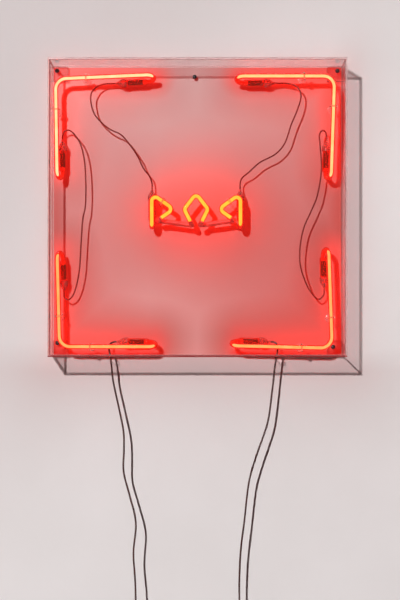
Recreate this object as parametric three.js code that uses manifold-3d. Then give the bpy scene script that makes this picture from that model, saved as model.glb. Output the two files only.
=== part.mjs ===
// Wall-hung neon advertising sign: four corner tubes and a small centre motif,
// wired in series inside a clear acrylic case that hangs on a wall.
// Millimetres. The origin is the middle of the case's back, on the wall; +X is right,
// +Z is up and the sign faces -Y, so a depth is a distance off the wall, towards -Y.
import * as THREE from 'three';
import { mergeVertices } from 'three/addons/utils/BufferGeometryUtils.js';
import Module from 'manifold-3d';

const wasm = await Module();
wasm.setup();

// Driving dimensions
const CASE_SIZE = 600;
const CASE_DEPTH = 100;
const SHEET = 3;
const GAP = 0.3;
const PANEL_SIZE = 592;
const PANEL_THICK = 5;
const BLOCK_SIZE = 30;
const BLOCK_THICK = 12;
const SCREW_HOLE_RADIUS = 2.6;
const SCREW_SHANK_RADIUS = 2;
const SCREW_HEAD_RADIUS = 4.5;
const SCREW_HEAD_HEIGHT = 3;
const HANGING_HEAD_RADIUS = 4.4;
const HANGING_HEAD_SEAT = 16;
const SLOT_WIDTH = 12;
const SLOT_REACH = 47;
const TUBE_RADIUS = 5;
const TUBE_DEPTH = 55;
const CORNER_BEND = 22;
const JACKET_DEPTH = 28;
const JACKET_RADIUS = 7.5;
const JACKET_BORE = 6;
const JACKET_LENGTH = 48;
const JACKET_INSET = 10;
const JACKET_FLOOR = 6;
const JACKET_SHOULDER = 1.5;
const JACKET_FLARE = 3;
const SHELL_RADIUS = 5;
const SHELL_WALL = 1;
const SHELL_START = 9;
const SHELL_LENGTH = 30;
const SHELL_DISHING = 3;
const SHELL_TAPER = 2;
const SPLICE_RADIUS = 1.2;
const BOOT_START = 42;
const BOOT_END = 64;
const BOOT_RADIUS = 9;
const BOOT_SLEEVE = 3;
const BOOT_COLLAR = 1.2;
const LEAD_RADIUS = 1.9;
const JUMPER_RADIUS = 1.5;
const LEAD_STEP = 9;
const LEAD_MOST_STEPS = 78;
const SUPPORT_FROM_CORNER = 62;
const SUPPORT_FOOT_RADIUS = 9;
const SUPPORT_FOOT_THICK = 3;
const SUPPORT_POST_RADIUS = 2.6;
const CLIP_GAP = 0.5;
const CLIP_WALL = 1.8;
const CLIP_WIDTH = 7;
const CLIP_MOUTH = 0.85;
const MOTIF_BEND = 8;
const MOTIF_DIP_BEND = 7.9;
const MOTIF_BACK_DEPTH = 39;
const MOTIF_MIDDLE_X = -3;
const MOTIF_HALF_HEIGHT = 31.5;
const STEM_REACH = 90;
const STEM_DROP = 4;
const PENNANT_APEX = 46;
const PENNANT_TAIL = [-77, -22];
const DIAMOND_FOOT = 8.5;
const DIAMOND_HALF_WIDTH = 24;
const COIL_RADIUS = 16.5;
const COIL_HALF = 2 * LEAD_RADIUS;
const CONNECTOR_RADIUS = 5;
const CONNECTOR_LENGTH = 34;
const CONNECTOR_DROP = 5;
const CONNECTOR_TAPER = 10;
const CONNECTOR_WALL = 2;
const SOCKET_FLOOR = 16;
const ARC_STEP = 0.42;
const LEAST_STEP = 0.2;
const TUBE_SIDES = 8;
const ELECTRODE_SIDES = 10;
const SCREW_SIDES = 12;

const PANEL_FRONT = PANEL_THICK + GAP;
const DOUBLE_BACK = Math.hypot(TUBE_DEPTH - JACKET_DEPTH, JACKET_INSET);

// Materials
const finish = (color, roughness, metalness, extra = {}) =>
  new THREE.MeshStandardMaterial({ color, roughness, metalness, ...extra });
const clear = { transparent: true, opacity: 0.3 };
const ACRYLIC = finish(0xdfe9e6, 0.08, 0, clear);
const SCREW_BLACK = finish(0x17171a, 0.45, 0.6);
const NEON_GLASS = finish(0xff7a2a, 0.1, 0, { emissive: 0xff4a12 });
const ELECTRODE = finish(0x4a4b50, 0.4, 0.9);
const SILICONE = finish(0xd9c9c4, 0.5, 0);
const CLEAR_GLASS = finish(0xe8eeee, 0.05, 0, clear);
const LEAD = finish(0x2a1512, 0.45, 0);
const CONNECTOR = finish(0x1d1d1f, 0.5, 0);

const OUT = new THREE.Vector3(0, -1, 0);
const group = new THREE.Group();

function addMesh(name, geometry, material) {
  const mesh = new THREE.Mesh(geometry, material);
  mesh.name = name;
  group.add(mesh);
  return mesh;
}

// A point given as its place on the wall and its depth off the wall.
const at = (x, z, depth) => new THREE.Vector3(x, -depth, z);

// Boolean cuts and joins
function toSolid(geometry) {
  const bare = geometry.clone();
  bare.deleteAttribute('normal');
  bare.deleteAttribute('uv');
  const merged = mergeVertices(bare, 1e-4);
  return new wasm.Manifold(new wasm.Mesh({
    numProp: 3,
    vertProperties: new Float32Array(merged.attributes.position.array),
    triVerts: new Uint32Array(merged.index.array),
  }));
}

function toGeometry(solid) {
  const mesh = solid.getMesh();
  const geometry = new THREE.BufferGeometry();
  geometry.setAttribute('position', new THREE.BufferAttribute(mesh.vertProperties, 3));
  geometry.setIndex(new THREE.BufferAttribute(mesh.triVerts, 1));
  return geometry;
}

const cut = (geometry, ...tools) =>
  toGeometry(tools.reduce((body, tool) => body.subtract(toSolid(tool)), toSolid(geometry)));
const join = (geometry, ...others) =>
  toGeometry(others.reduce((body, other) => body.add(toSolid(other)), toSolid(geometry)));

// Shapes
function box(width, depth, height, x, z, nearDepth) {
  const geometry = new THREE.BoxGeometry(width, depth, height);
  geometry.translate(x, -(nearDepth + depth / 2), z);
  return geometry;
}

// A cylinder standing off the wall between two depths.
function standing(radius, from, to, x, z, sides = 12) {
  const geometry = new THREE.CylinderGeometry(radius, radius, to - from, sides);
  geometry.translate(x, -(from + to) / 2, z);
  return geometry;
}

// A turned piece: [radius, distance] pairs, its axis from a point along a direction.
function turned(profile, start, direction, sides) {
  const points = profile.map(([radius, along]) => new THREE.Vector2(radius, along));
  const geometry = new THREE.LatheGeometry(points, sides);
  const turn = new THREE.Quaternion().setFromUnitVectors(new THREE.Vector3(0, 1, 0), direction);
  geometry.applyQuaternion(turn);
  geometry.translate(start.x, start.y, start.z);
  return geometry;
}

// A curve that runs straight between stations, one extrusion step for each.
class StationCurve extends THREE.Curve {
  constructor(stations) {
    super();
    this.stations = stations;
  }

  getUtoTmapping(u) {
    return u;
  }

  getPoint(t, target = new THREE.Vector3()) {
    const last = this.stations.length - 1;
    const place = THREE.MathUtils.clamp(t, 0, 1) * last;
    const index = Math.min(Math.floor(place), last - 1);
    return target.lerpVectors(this.stations[index], this.stations[index + 1], place - index);
  }
}

function sweep(stations, radius, sides) {
  const section = new THREE.Shape();
  for (let i = 0; i < sides; i += 1) {
    const angle = (2 * Math.PI * (i + 0.5)) / sides;
    const place = [radius * Math.cos(angle), radius * Math.sin(angle)];
    if (i === 0) section.moveTo(...place);
    else section.lineTo(...place);
  }
  section.closePath();
  return new THREE.ExtrudeGeometry(section, {
    steps: stations.length - 1,
    extrudePath: new StationCurve(stations),
  });
}

// Stations along straight runs whose corners are bent to circular arcs.
function bentRun(corners) {
  const stations = [corners[0].point];
  for (let i = 1; i < corners.length - 1; i += 1) {
    const { point, bend } = corners[i];
    const back = corners[i - 1].point.clone().sub(point).normalize();
    const ahead = corners[i + 1].point.clone().sub(point).normalize();
    const half = back.angleTo(ahead) / 2;
    const trim = bend / Math.tan(half);
    const inward = back.clone().add(ahead).normalize();
    const centre = point.clone().addScaledVector(inward, bend / Math.sin(half));
    const first = point.clone().addScaledVector(back, trim).sub(centre);
    const final = point.clone().addScaledVector(ahead, trim).sub(centre);
    const sweepAngle = first.angleTo(final);
    const steps = Math.max(2, Math.round(sweepAngle / ARC_STEP));
    const axis = first.clone().cross(final).normalize();
    for (let s = 0; s <= steps; s += 1) {
      const spoke = first.clone().applyAxisAngle(axis, (sweepAngle * s) / steps);
      const station = centre.clone().add(spoke);
      if (station.distanceTo(stations.at(-1)) > LEAST_STEP) stations.push(station);
    }
  }
  const end = corners.at(-1).point;
  if (end.distanceTo(stations.at(-1)) > LEAST_STEP) stations.push(end);
  return stations;
}

// Clear case: a back panel on the wall and a five-sided cover that slides off it.
const slotCentres = { left: -178, right: 161 };
const screwPlaces = {
  top_left: [-288, 287],
  top_right: [287, 287],
  bottom_left: [-287, -271],
  bottom_right: [278, -279],
};
const hangingPlace = [-6, 275];

function makeBackPanel() {
  const plate = box(PANEL_SIZE, PANEL_THICK, PANEL_SIZE, 0, 0, 0);
  const holes = [...Object.values(screwPlaces), hangingPlace].map(([x, z]) =>
    standing(SCREW_HOLE_RADIUS, -1, PANEL_THICK + 1, x, z));
  addMesh('back_panel', cut(plate, ...holes), ACRYLIC);
}

function makeCover() {
  const wallDepth = CASE_DEPTH - SHEET - GAP;
  const wallMiddle = CASE_SIZE / 2 - SHEET / 2;
  const sideHeight = CASE_SIZE - 2 * (SHEET + GAP);
  const slots = Object.values(slotCentres).map((x) =>
    box(SLOT_WIDTH, SLOT_REACH + 1, 3 * SHEET, x, -wallMiddle, -1));
  const bottom = box(CASE_SIZE, wallDepth, SHEET, 0, -wallMiddle, 0);
  addMesh('cover_front_pane', box(CASE_SIZE, SHEET, CASE_SIZE, 0, 0, CASE_DEPTH - SHEET), ACRYLIC);
  addMesh('cover_top_wall', box(CASE_SIZE, wallDepth, SHEET, 0, wallMiddle, 0), ACRYLIC);
  addMesh('cover_bottom_wall', cut(bottom, ...slots), ACRYLIC);
  addMesh('cover_left_wall', box(SHEET, wallDepth, sideHeight, -wallMiddle, 0, 0), ACRYLIC);
  addMesh('cover_right_wall', box(SHEET, wallDepth, sideHeight, wallMiddle, 0, 0), ACRYLIC);
}

// A round-headed screw, drawn from its point up to its head.
function screw(seat, headRadius) {
  return [
    [0, GAP],
    [SCREW_SHANK_RADIUS, GAP],
    [SCREW_SHANK_RADIUS, seat],
    [headRadius, seat],
    [headRadius, seat + SCREW_HEAD_HEIGHT / 2],
    [headRadius / 2, seat + SCREW_HEAD_HEIGHT],
    [0, seat + SCREW_HEAD_HEIGHT],
  ];
}

function makeCornerFixings() {
  const blockMiddle = PANEL_SIZE / 2 - BLOCK_SIZE / 2;
  const blockFront = PANEL_FRONT + BLOCK_THICK;
  for (const [corner, [x, z]] of Object.entries(screwPlaces)) {
    const block = box(BLOCK_SIZE, BLOCK_THICK, BLOCK_SIZE,
      Math.sign(x) * blockMiddle, Math.sign(z) * blockMiddle, PANEL_FRONT);
    const hole = standing(SCREW_HOLE_RADIUS, PANEL_FRONT - 1, blockFront + 1, x, z);
    addMesh(`corner_block_${corner}`, cut(block, hole), ACRYLIC);
    const profile = screw(blockFront + GAP, SCREW_HEAD_RADIUS);
    const fixing = turned(profile, at(x, z, 0), OUT, SCREW_SIDES);
    addMesh(`corner_screw_${corner}`, fixing, SCREW_BLACK);
  }
  const [hangX, hangZ] = hangingPlace;
  const profile = screw(HANGING_HEAD_SEAT, HANGING_HEAD_RADIUS);
  const hanger = turned(profile, at(hangX, hangZ, 0), OUT, SCREW_SIDES);
  addMesh('hanging_screw', hanger, SCREW_BLACK);
}

// Electrodes: a glass jacket that is part of the tube, a metal shell in it on its lead-in
// wire, and a silicone boot over the pinched end. Distances run from the jacket's neck.
const jacketProfile = [
  [0, -JACKET_SHOULDER],
  [TUBE_RADIUS, -JACKET_SHOULDER],
  [JACKET_RADIUS, JACKET_FLARE],
  [JACKET_RADIUS, JACKET_LENGTH],
  [JACKET_BORE, JACKET_LENGTH],
  [JACKET_BORE, JACKET_FLOOR],
  [0, JACKET_FLOOR],
];
const shellProfile = [
  [0, SHELL_START + SHELL_DISHING],
  [SHELL_RADIUS - SHELL_WALL, SHELL_START + SHELL_DISHING],
  [SHELL_RADIUS - SHELL_WALL, SHELL_START],
  [SHELL_RADIUS, SHELL_START],
  [SHELL_RADIUS, SHELL_START + SHELL_LENGTH - SHELL_TAPER],
  [SPLICE_RADIUS, SHELL_START + SHELL_LENGTH],
  [SPLICE_RADIUS, JACKET_LENGTH],
  [0, JACKET_LENGTH],
];
const bootProfile = [
  [0, JACKET_LENGTH + GAP],
  [JACKET_RADIUS + GAP, JACKET_LENGTH + GAP],
  [JACKET_RADIUS + GAP, BOOT_START],
  [BOOT_RADIUS, BOOT_START],
  [BOOT_RADIUS, JACKET_LENGTH + BOOT_SLEEVE],
  [LEAD_RADIUS + BOOT_COLLAR, BOOT_END - BOOT_SLEEVE],
  [LEAD_RADIUS + BOOT_COLLAR, BOOT_END],
  [0, BOOT_END],
];

function makeElectrode(name, neck, direction) {
  const shell = turned(shellProfile, neck, direction, ELECTRODE_SIDES);
  const boot = turned(bootProfile, neck, direction, ELECTRODE_SIDES);
  addMesh(`electrode_shell_${name}`, shell, ELECTRODE);
  addMesh(`end_boot_${name}`, boot, SILICONE);
}

// A clear standoff: a foot on the panel, a post and a springy clip open to the front.
function makeSupport(name, hold, run) {
  const inner = TUBE_RADIUS + CLIP_GAP;
  const from = Math.PI / 2 + CLIP_MOUTH;
  const to = 2.5 * Math.PI - CLIP_MOUTH;
  const ring = new THREE.Shape();
  ring.absarc(0, 0, inner + CLIP_WALL, from, to, false);
  ring.absarc(0, 0, inner, to, from, true);
  ring.closePath();
  const clip = new THREE.ExtrudeGeometry(ring, {
    depth: CLIP_WIDTH,
    bevelEnabled: false,
    curveSegments: 5,
  });
  clip.translate(0, 0, -CLIP_WIDTH / 2);
  clip.applyMatrix4(new THREE.Matrix4().makeBasis(OUT.clone().cross(run), OUT, run));
  clip.translate(hold.x, hold.y, hold.z);
  const footFront = PANEL_FRONT + SUPPORT_FOOT_THICK;
  const foot = standing(SUPPORT_FOOT_RADIUS, PANEL_FRONT, footFront, hold.x, hold.z);
  const postEnd = TUBE_DEPTH - inner - CLIP_WALL / 2;
  const post = standing(SUPPORT_POST_RADIUS, footFront - 1, postEnd, hold.x, hold.z, 8);
  addMesh(`tube_support_${name}`, join(foot, post, clip), CLEAR_GLASS);
}

// Neon tubes
// The stretch from a leg's end back round to its electrode, as bend corners.
function doubledBack(end, corner, inward) {
  const run = end.clone().sub(corner).normalize();
  const turnCorner = end.clone().addScaledVector(run, -TUBE_RADIUS);
  const behind = turnCorner.clone().addScaledVector(inward, JACKET_INSET);
  behind.y = -JACKET_DEPTH;
  const neck = behind.clone().addScaledVector(run, -DOUBLE_BACK / 2);
  return { turnCorner, behind, neck, direction: run.clone().negate() };
}

function makeCornerTube(name, first, corner, second) {
  const cornerPoint = at(...corner.place, TUBE_DEPTH);
  const ends = [first, second].map(({ place, inward }) =>
    doubledBack(at(...place, TUBE_DEPTH), cornerPoint, at(...inward, 0)));
  const bend = DOUBLE_BACK / 2 - 0.01;
  const stations = bentRun([
    { point: ends[0].neck.clone().addScaledVector(ends[0].direction, 1) },
    { point: ends[0].behind, bend },
    { point: ends[0].turnCorner, bend },
    { point: cornerPoint, bend: CORNER_BEND },
    { point: ends[1].turnCorner, bend },
    { point: ends[1].behind, bend },
    { point: ends[1].neck.clone().addScaledVector(ends[1].direction, 1) },
  ]);
  const jackets = ends.map(({ neck, direction }) =>
    turned(jacketProfile, neck, direction, ELECTRODE_SIDES));
  const tube = join(sweep(stations, TUBE_RADIUS, TUBE_SIDES), ...jackets);
  addMesh(`neon_tube_${name}`, tube, NEON_GLASS);
  [first, second].forEach(({ side }, i) => {
    const run = ends[i].direction;
    makeElectrode(`${name}_${side}`, ends[i].neck, run);
    const hold = cornerPoint.clone().addScaledVector(run, -SUPPORT_FROM_CORNER);
    makeSupport(`${name}_${side}`, hold, run);
  });
}

const DOWN = [0, -1];
const UP = [0, 1];
const LEFT = [-1, 0];
const RIGHT = [1, 0];

function makeCornerTubes() {
  makeCornerTube('top_left',
    { side: 'across', place: [-84, 273], inward: DOWN },
    { place: [-288, 264] },
    { side: 'upright', place: [-285, 60], inward: RIGHT });
  makeCornerTube('top_right',
    { side: 'across', place: [75, 270], inward: DOWN },
    { place: [278, 270] },
    { side: 'upright', place: [271, 59], inward: LEFT });
  makeCornerTube('bottom_left',
    { side: 'across', place: [-81, -279], inward: UP },
    { place: [-280, -279] },
    { side: 'upright', place: [-285, -83], inward: RIGHT });
  makeCornerTube('bottom_right',
    { side: 'across', place: [65, -277], inward: UP },
    { place: [273, -282] },
    { side: 'upright', place: [266, -76], inward: LEFT });
}

// Centre motif: one continuous tube bent to a pennant, a diamond and a mirrored pennant.
// Between figures it dips back and crosses behind, where it is painted out on the real sign.
function makeMotif() {
  const stemFoot = -MOTIF_HALF_HEIGHT - STEM_DROP;
  const bend = (TUBE_DEPTH - JACKET_DEPTH) / 2 - 0.01;
  const neckHeight = stemFoot + bend;
  const front = (offset, z, radius) =>
    ({ point: at(MOTIF_MIDDLE_X + offset, z, TUBE_DEPTH), bend: radius });
  const behind = (offset, z, depth, radius) =>
    ({ point: at(MOTIF_MIDDLE_X + offset, z, depth), bend: radius });
  const half = [
    { point: at(MOTIF_MIDDLE_X - STEM_REACH, neckHeight + 1, JACKET_DEPTH) },
    behind(-STEM_REACH, stemFoot, JACKET_DEPTH, bend),
    front(-STEM_REACH, stemFoot, bend),
    front(-STEM_REACH, MOTIF_HALF_HEIGHT, MOTIF_BEND),
    front(-PENNANT_APEX, 0, MOTIF_BEND),
    front(...PENNANT_TAIL, MOTIF_DIP_BEND),
    behind(...PENNANT_TAIL, MOTIF_BACK_DEPTH, MOTIF_DIP_BEND),
    behind(-DIAMOND_FOOT, -MOTIF_HALF_HEIGHT, MOTIF_BACK_DEPTH, MOTIF_DIP_BEND),
    front(-DIAMOND_FOOT, -MOTIF_HALF_HEIGHT, MOTIF_DIP_BEND),
    front(-DIAMOND_HALF_WIDTH, 0, MOTIF_BEND),
  ];
  const top = front(0, MOTIF_HALF_HEIGHT, MOTIF_BEND);
  const mirrored = half.map(({ point, bend: radius }) =>
    ({ point: new THREE.Vector3(2 * MOTIF_MIDDLE_X - point.x, point.y, point.z), bend: radius }));
  const stations = bentRun([...half, top, ...mirrored.reverse()]);
  const up = new THREE.Vector3(0, 0, 1);
  const necks = [-STEM_REACH, STEM_REACH].map((offset) =>
    at(MOTIF_MIDDLE_X + offset, neckHeight, JACKET_DEPTH));
  const jackets = necks.map((neck) => turned(jacketProfile, neck, up, ELECTRODE_SIDES));
  const tube = join(sweep(stations, TUBE_RADIUS, TUBE_SIDES), ...jackets);
  addMesh('neon_tube_motif', tube, NEON_GLASS);
  ['left', 'right'].forEach((side, i) => {
    makeElectrode(`motif_${side}`, necks[i], up);
    const hand = i === 0 ? -1 : 1;
    const sideMiddle = (hand * (STEM_REACH + PENNANT_APEX)) / 2;
    const hold = at(MOTIF_MIDDLE_X + sideMiddle, MOTIF_HALF_HEIGHT / 2, TUBE_DEPTH);
    const run = new THREE.Vector3(STEM_REACH - PENNANT_APEX, 0, hand * MOTIF_HALF_HEIGHT);
    makeSupport(`motif_${side}`, hold, run.normalize());
  });
}

// High-tension leads, each along its own route of [x, z, depth] points.
const leadRoutes = {
  jumper_lead_top_left: [
    [-167.9, 259.3, 28], [-176, 258.9, 28], [-192, 257.5, 31], [-206, 251, 36],
    [-216, 238, 40], [-217.5, 222, 42], [-210, 195, 42], [-196, 178, 42],
    [-178, 163.5, 42], [-157, 153.5, 42], [-143, 139, 42], [-121, 107, 41],
    [-110, 84, 38], [-97.5, 68, 32], [-93.1, 54, 28.2], [-93, 42.6, 28],
  ],
  jumper_lead_top_right: [
    [159, 260, 28], [168, 260, 28], [184, 259, 31], [199, 254, 35],
    [209.5, 242, 38], [210, 226, 40], [202, 200, 42], [191, 174, 42],
    [177, 134, 42], [159, 113.5, 42], [126, 95.5, 42], [104, 76, 40],
    [90.5, 65, 32], [87.1, 54, 28.2], [87, 42.6, 28],
  ],
  jumper_lead_left: [
    [-276.2, 144, 28], [-276.3, 151, 28], [-273, 160, 29], [-264.5, 163.5, 32],
    [-255, 158, 36], [-240, 137, 41], [-231, 105, 43], [-227.5, 60, 44],
    [-228.5, 5, 44], [-233, -16, 44], [-237, -69, 44], [-241, -126, 43],
    [-249, -162, 39], [-256, -177, 35], [-265, -183, 31], [-272.6, -177, 28.4],
    [-272.9, -167, 28],
  ],
  jumper_lead_right: [
    [263.8, 143, 28], [263.8, 151, 28], [261.5, 160, 30], [254, 162, 35],
    [248.5, 153, 40], [249.5, 132, 43], [252, 80, 44], [243, 26, 44],
    [233, 1, 44], [215, -41, 44], [208, -86, 44], [210, -117, 43],
    [224, -156, 40], [236, -174, 36], [248, -182, 31], [258, -173, 28.4],
    [258.8, -160, 28],
  ],
  supply_lead_left: [
    [-165, -269, 28], [-171, -269.1, 28], [-178, -273, 30], [-180.5, -282, 34],
    [-178, -298, 39], [-175, -320, 41], [-172.5, -345, 42], [-161, -399, 44],
    [-150.5, -452, 47], [-149.5, -490, 50], [-150, -532, 53], [-138, -579, 57],
    [-125, -634, 61], [-129.5, -696, 66], [-126, -750, 70], [-124.5, -796, 72],
    [-124.5, -812, 72], [-124.5, -829.3, 72],
  ],
  supply_lead_right: [
    [149, -269, 28], [155, -269.1, 28], [161.5, -273, 30], [163.5, -282, 34],
    [161, -298, 39], [157.5, -320, 41], [153, -360, 42], [143.5, -430, 43],
    [132, -466, 44], [120, -500, 45], [106, -547, 46], [95, -634, 47],
    [87.5, -696, 48], [85, -750, 48], [85, -796, 48], [85, -812, 48],
    [85, -829.3, 48],
  ],
};

function makeLeads() {
  for (const [name, route] of Object.entries(leadRoutes)) {
    const places = route.map((place) => at(...place));
    const curve = new THREE.CatmullRomCurve3(places, false, 'centripetal');
    const steps = Math.min(LEAD_MOST_STEPS, Math.ceil(curve.getLength() / LEAD_STEP));
    const radius = name.startsWith('jumper') ? JUMPER_RADIUS : LEAD_RADIUS;
    addMesh(name, sweep(curve.getSpacedPoints(steps), radius, TUBE_SIDES), LEAD);
  }
}

// The spare length of each supply lead is wound small and tied; its connector hangs below.
function makeSupplyEnds() {
  const inner = COIL_RADIUS - COIL_HALF;
  const outer = COIL_RADIUS + COIL_HALF;
  const ring = [
    [inner, -COIL_HALF],
    [outer, -COIL_HALF],
    [outer, COIL_HALF],
    [inner, COIL_HALF],
    [inner, -COIL_HALF],
  ];
  for (const side of ['left', 'right']) {
    const [endX, endZ, endDepth] = leadRoutes[`supply_lead_${side}`].at(-1);
    const lane = COIL_RADIUS + LEAD_RADIUS;
    const drop = Math.sqrt(outer ** 2 - (lane - LEAD_RADIUS) ** 2) + GAP;
    const centre = at(endX + lane, endZ - drop, endDepth);
    addMesh(`supply_coil_${side}`, turned(ring, centre, OUT, 20), LEAD);
    const start = at(endX, endZ - 2 * drop - CONNECTOR_DROP, endDepth);
    const body = [
      [0, 0],
      [CONNECTOR_RADIUS / 2, 0],
      [CONNECTOR_RADIUS, CONNECTOR_TAPER],
      [CONNECTOR_RADIUS, CONNECTOR_LENGTH],
      [CONNECTOR_RADIUS - CONNECTOR_WALL, CONNECTOR_LENGTH],
      [CONNECTOR_RADIUS - CONNECTOR_WALL, SOCKET_FLOOR],
      [0, SOCKET_FLOOR],
    ];
    const down = new THREE.Vector3(0, 0, -1);
    addMesh(`supply_connector_${side}`, turned(body, start, down, 12), CONNECTOR);
  }
}

makeBackPanel();
makeCover();
makeCornerFixings();
makeCornerTubes();
makeMotif();
makeLeads();
makeSupplyEnds();

export default group;
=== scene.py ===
"""Neon advertising sign in a clear case: the looks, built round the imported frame.

Lengths are given in millimetres and become metres when a mesh is made, so that a route or
a bend reads the same here as in the part's own source. A depth is a distance off the wall.
"""
import math
from itertools import groupby

import bmesh
import bpy
from mathutils import Matrix, Vector


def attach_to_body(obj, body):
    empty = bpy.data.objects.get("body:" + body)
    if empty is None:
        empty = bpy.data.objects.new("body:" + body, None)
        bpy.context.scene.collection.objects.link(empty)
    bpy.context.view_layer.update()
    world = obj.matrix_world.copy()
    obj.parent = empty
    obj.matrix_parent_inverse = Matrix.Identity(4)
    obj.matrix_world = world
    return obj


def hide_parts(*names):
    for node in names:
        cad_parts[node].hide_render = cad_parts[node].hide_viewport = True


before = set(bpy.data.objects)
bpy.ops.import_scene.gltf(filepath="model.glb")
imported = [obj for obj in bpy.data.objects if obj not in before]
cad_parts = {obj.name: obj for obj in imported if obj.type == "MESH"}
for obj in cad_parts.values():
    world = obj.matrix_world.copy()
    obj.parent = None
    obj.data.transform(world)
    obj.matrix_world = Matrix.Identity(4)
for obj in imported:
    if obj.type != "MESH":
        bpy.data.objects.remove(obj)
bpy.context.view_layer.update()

MM = 0.001
BACK = "case_back"
COVER = "cover"
scene = bpy.context.scene

# Driving dimensions, the same as the frame's
CASE_HALF = 300
CASE_DEPTH = 100
SHEET = 3
PANEL_THICK = 5
PANEL_FRONT = 5.3
TUBE_RADIUS = 5
TUBE_DEPTH = 55
CORNER_BEND = 22
JACKET_DEPTH = 28
JACKET_INSET = 10
LEAD_RADIUS = 1.9
JUMPER_RADIUS = 1.5
SUPPORT_FROM_CORNER = 62
MOTIF_BEND = 8
MOTIF_DIP_BEND = 7.9
MOTIF_BACK_DEPTH = 39
MOTIF_MIDDLE_X = -3
MOTIF_HALF_HEIGHT = 31.5
STEM_REACH = 90
STEM_DROP = 4
PENNANT_APEX = 46
PENNANT_TAIL = (-77, -22)
DIAMOND_FOOT = 8.5
DIAMOND_HALF_WIDTH = 24
COIL_RADIUS = 16.5
DOUBLE_BACK = math.hypot(TUBE_DEPTH - JACKET_DEPTH, JACKET_INSET)

OUT = Vector((0, -1, 0))
UPWARD = Vector((0, 0, 1))


def at(x, z, depth):
    """A point from its place on the wall and its depth off it, in millimetres."""
    return Vector((x, -depth, z))


# --- Camera, wall, floor and lights ---
CAMERA_DISTANCE = 3.23
CAMERA_HEIGHT = -0.306
CAMERA_ACROSS = 0.005
VIEW_TALL = 1.2
CAMERA_SHIFT = 0.1
SENSOR = 36
FLOOR_LEVEL = -1020
FLOOR_FRONT = -3600
FLOOR_REAR = 2600
WALL_GAP = 0.6
WALL_TOP = 2200
STAGE_HALF = 3200
KEY_PLACE = (-1.38, -4.3, 1.3)
KEY_RADIUS = 0.02
KEY_STRENGTH = 3.06
KEY_COLOR = (1, 0.965, 0.955)
# Each sun's strength, spread in degrees, colour and heading
SUNS = {
    "second": (0.05, 2.5, (1, 0.95, 0.95), (-0.13, 1, -0.5)),
    "above": (0.6, 14, (1, 0.98, 0.97), (0, 0, -1)),
    "rear": (1.6, 30, (1, 0.98, 0.97), (-0.4, -1, -0.5)),
}
FILL_COLOR = (1, 0.3, 0.28, 1)
FILL_STRENGTH = 0.04
BACKDROP_COLOR = (0.8, 0.76, 0.76, 1)


def put(name, data):
    item = bpy.data.objects.new(name, data)
    scene.collection.objects.link(item)
    return item


def make_camera():
    data = bpy.data.cameras.new("camera")
    data.sensor_width = SENSOR
    data.lens = SENSOR * CAMERA_DISTANCE / VIEW_TALL
    data.shift_y = CAMERA_SHIFT
    data.clip_end = 60
    camera = put("camera", data)
    camera.location = (CAMERA_ACROSS, -(CASE_DEPTH * MM + CAMERA_DISTANCE), CAMERA_HEIGHT)
    camera.rotation_euler = (math.pi / 2, 0, 0)
    scene.camera = camera


def add_lamp(name, kind, energy, color):
    data = bpy.data.lights.new(name, kind)
    data.energy = energy
    data.color = color
    return put(name, data), data


def add_sun(name, energy, spread, color, heading):
    lamp, data = add_lamp(name, "SUN", energy, color)
    data.angle = math.radians(spread)
    lamp.rotation_euler = Vector(heading).to_track_quat("-Z", "Y").to_euler()
    return lamp


def add_key():
    """A small lamp on a stand to the upper left, even over the whole wall."""
    lamp, data = add_lamp("key", "POINT", 4 * math.pi * KEY_STRENGTH, KEY_COLOR)
    data.shadow_soft_size = KEY_RADIUS
    data.use_nodes = True
    tree = data.node_tree
    even = tree.nodes.new("ShaderNodeLightFalloff")
    even.inputs["Strength"].default_value = 1.0
    tree.links.new(even.outputs["Constant"], tree.nodes["Emission"].inputs["Strength"])
    lamp.location = KEY_PLACE
    lamp.visible_camera = False
    return lamp


def leave_out(item, name, lamps, role):
    """Leave one thing out of what lamps light (receiver) or what shades them (blocker)."""
    group = bpy.data.collections.new(name)
    group.objects.link(item)
    for lamp in lamps:
        setattr(lamp.light_linking, f"{role}_collection", group)
    group.collection_objects[0].light_linking.link_state = "EXCLUDE"


def make_lights(wall):
    """A key from the upper left, a soft fill all round, and soft light from above and behind."""
    lamps = [add_key(), *(add_sun(name, *sun) for name, sun in SUNS.items())]
    leave_out(wall, "wall_lets_light_by", lamps, "blocker")

    world = bpy.data.worlds.new("studio")
    scene.world = world
    world.use_nodes = True
    tree = world.node_tree
    fill = tree.nodes["Background"]
    fill.inputs["Color"].default_value = FILL_COLOR
    fill.inputs["Strength"].default_value = FILL_STRENGTH
    backdrop = tree.nodes.new("ShaderNodeBackground")
    backdrop.inputs["Color"].default_value = BACKDROP_COLOR
    seen = tree.nodes.new("ShaderNodeLightPath")
    either = tree.nodes.new("ShaderNodeMixShader")
    sources = seen.outputs["Is Camera Ray"], fill.outputs[0], backdrop.outputs[0]
    for source, socket in zip(sources, either.inputs):
        tree.links.new(source, socket)
    tree.links.new(either.outputs[0], tree.nodes["World Output"].inputs["Surface"])
    scene.view_settings.view_transform = "Standard"
    scene.cycles.transparent_max_bounces = 48


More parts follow.
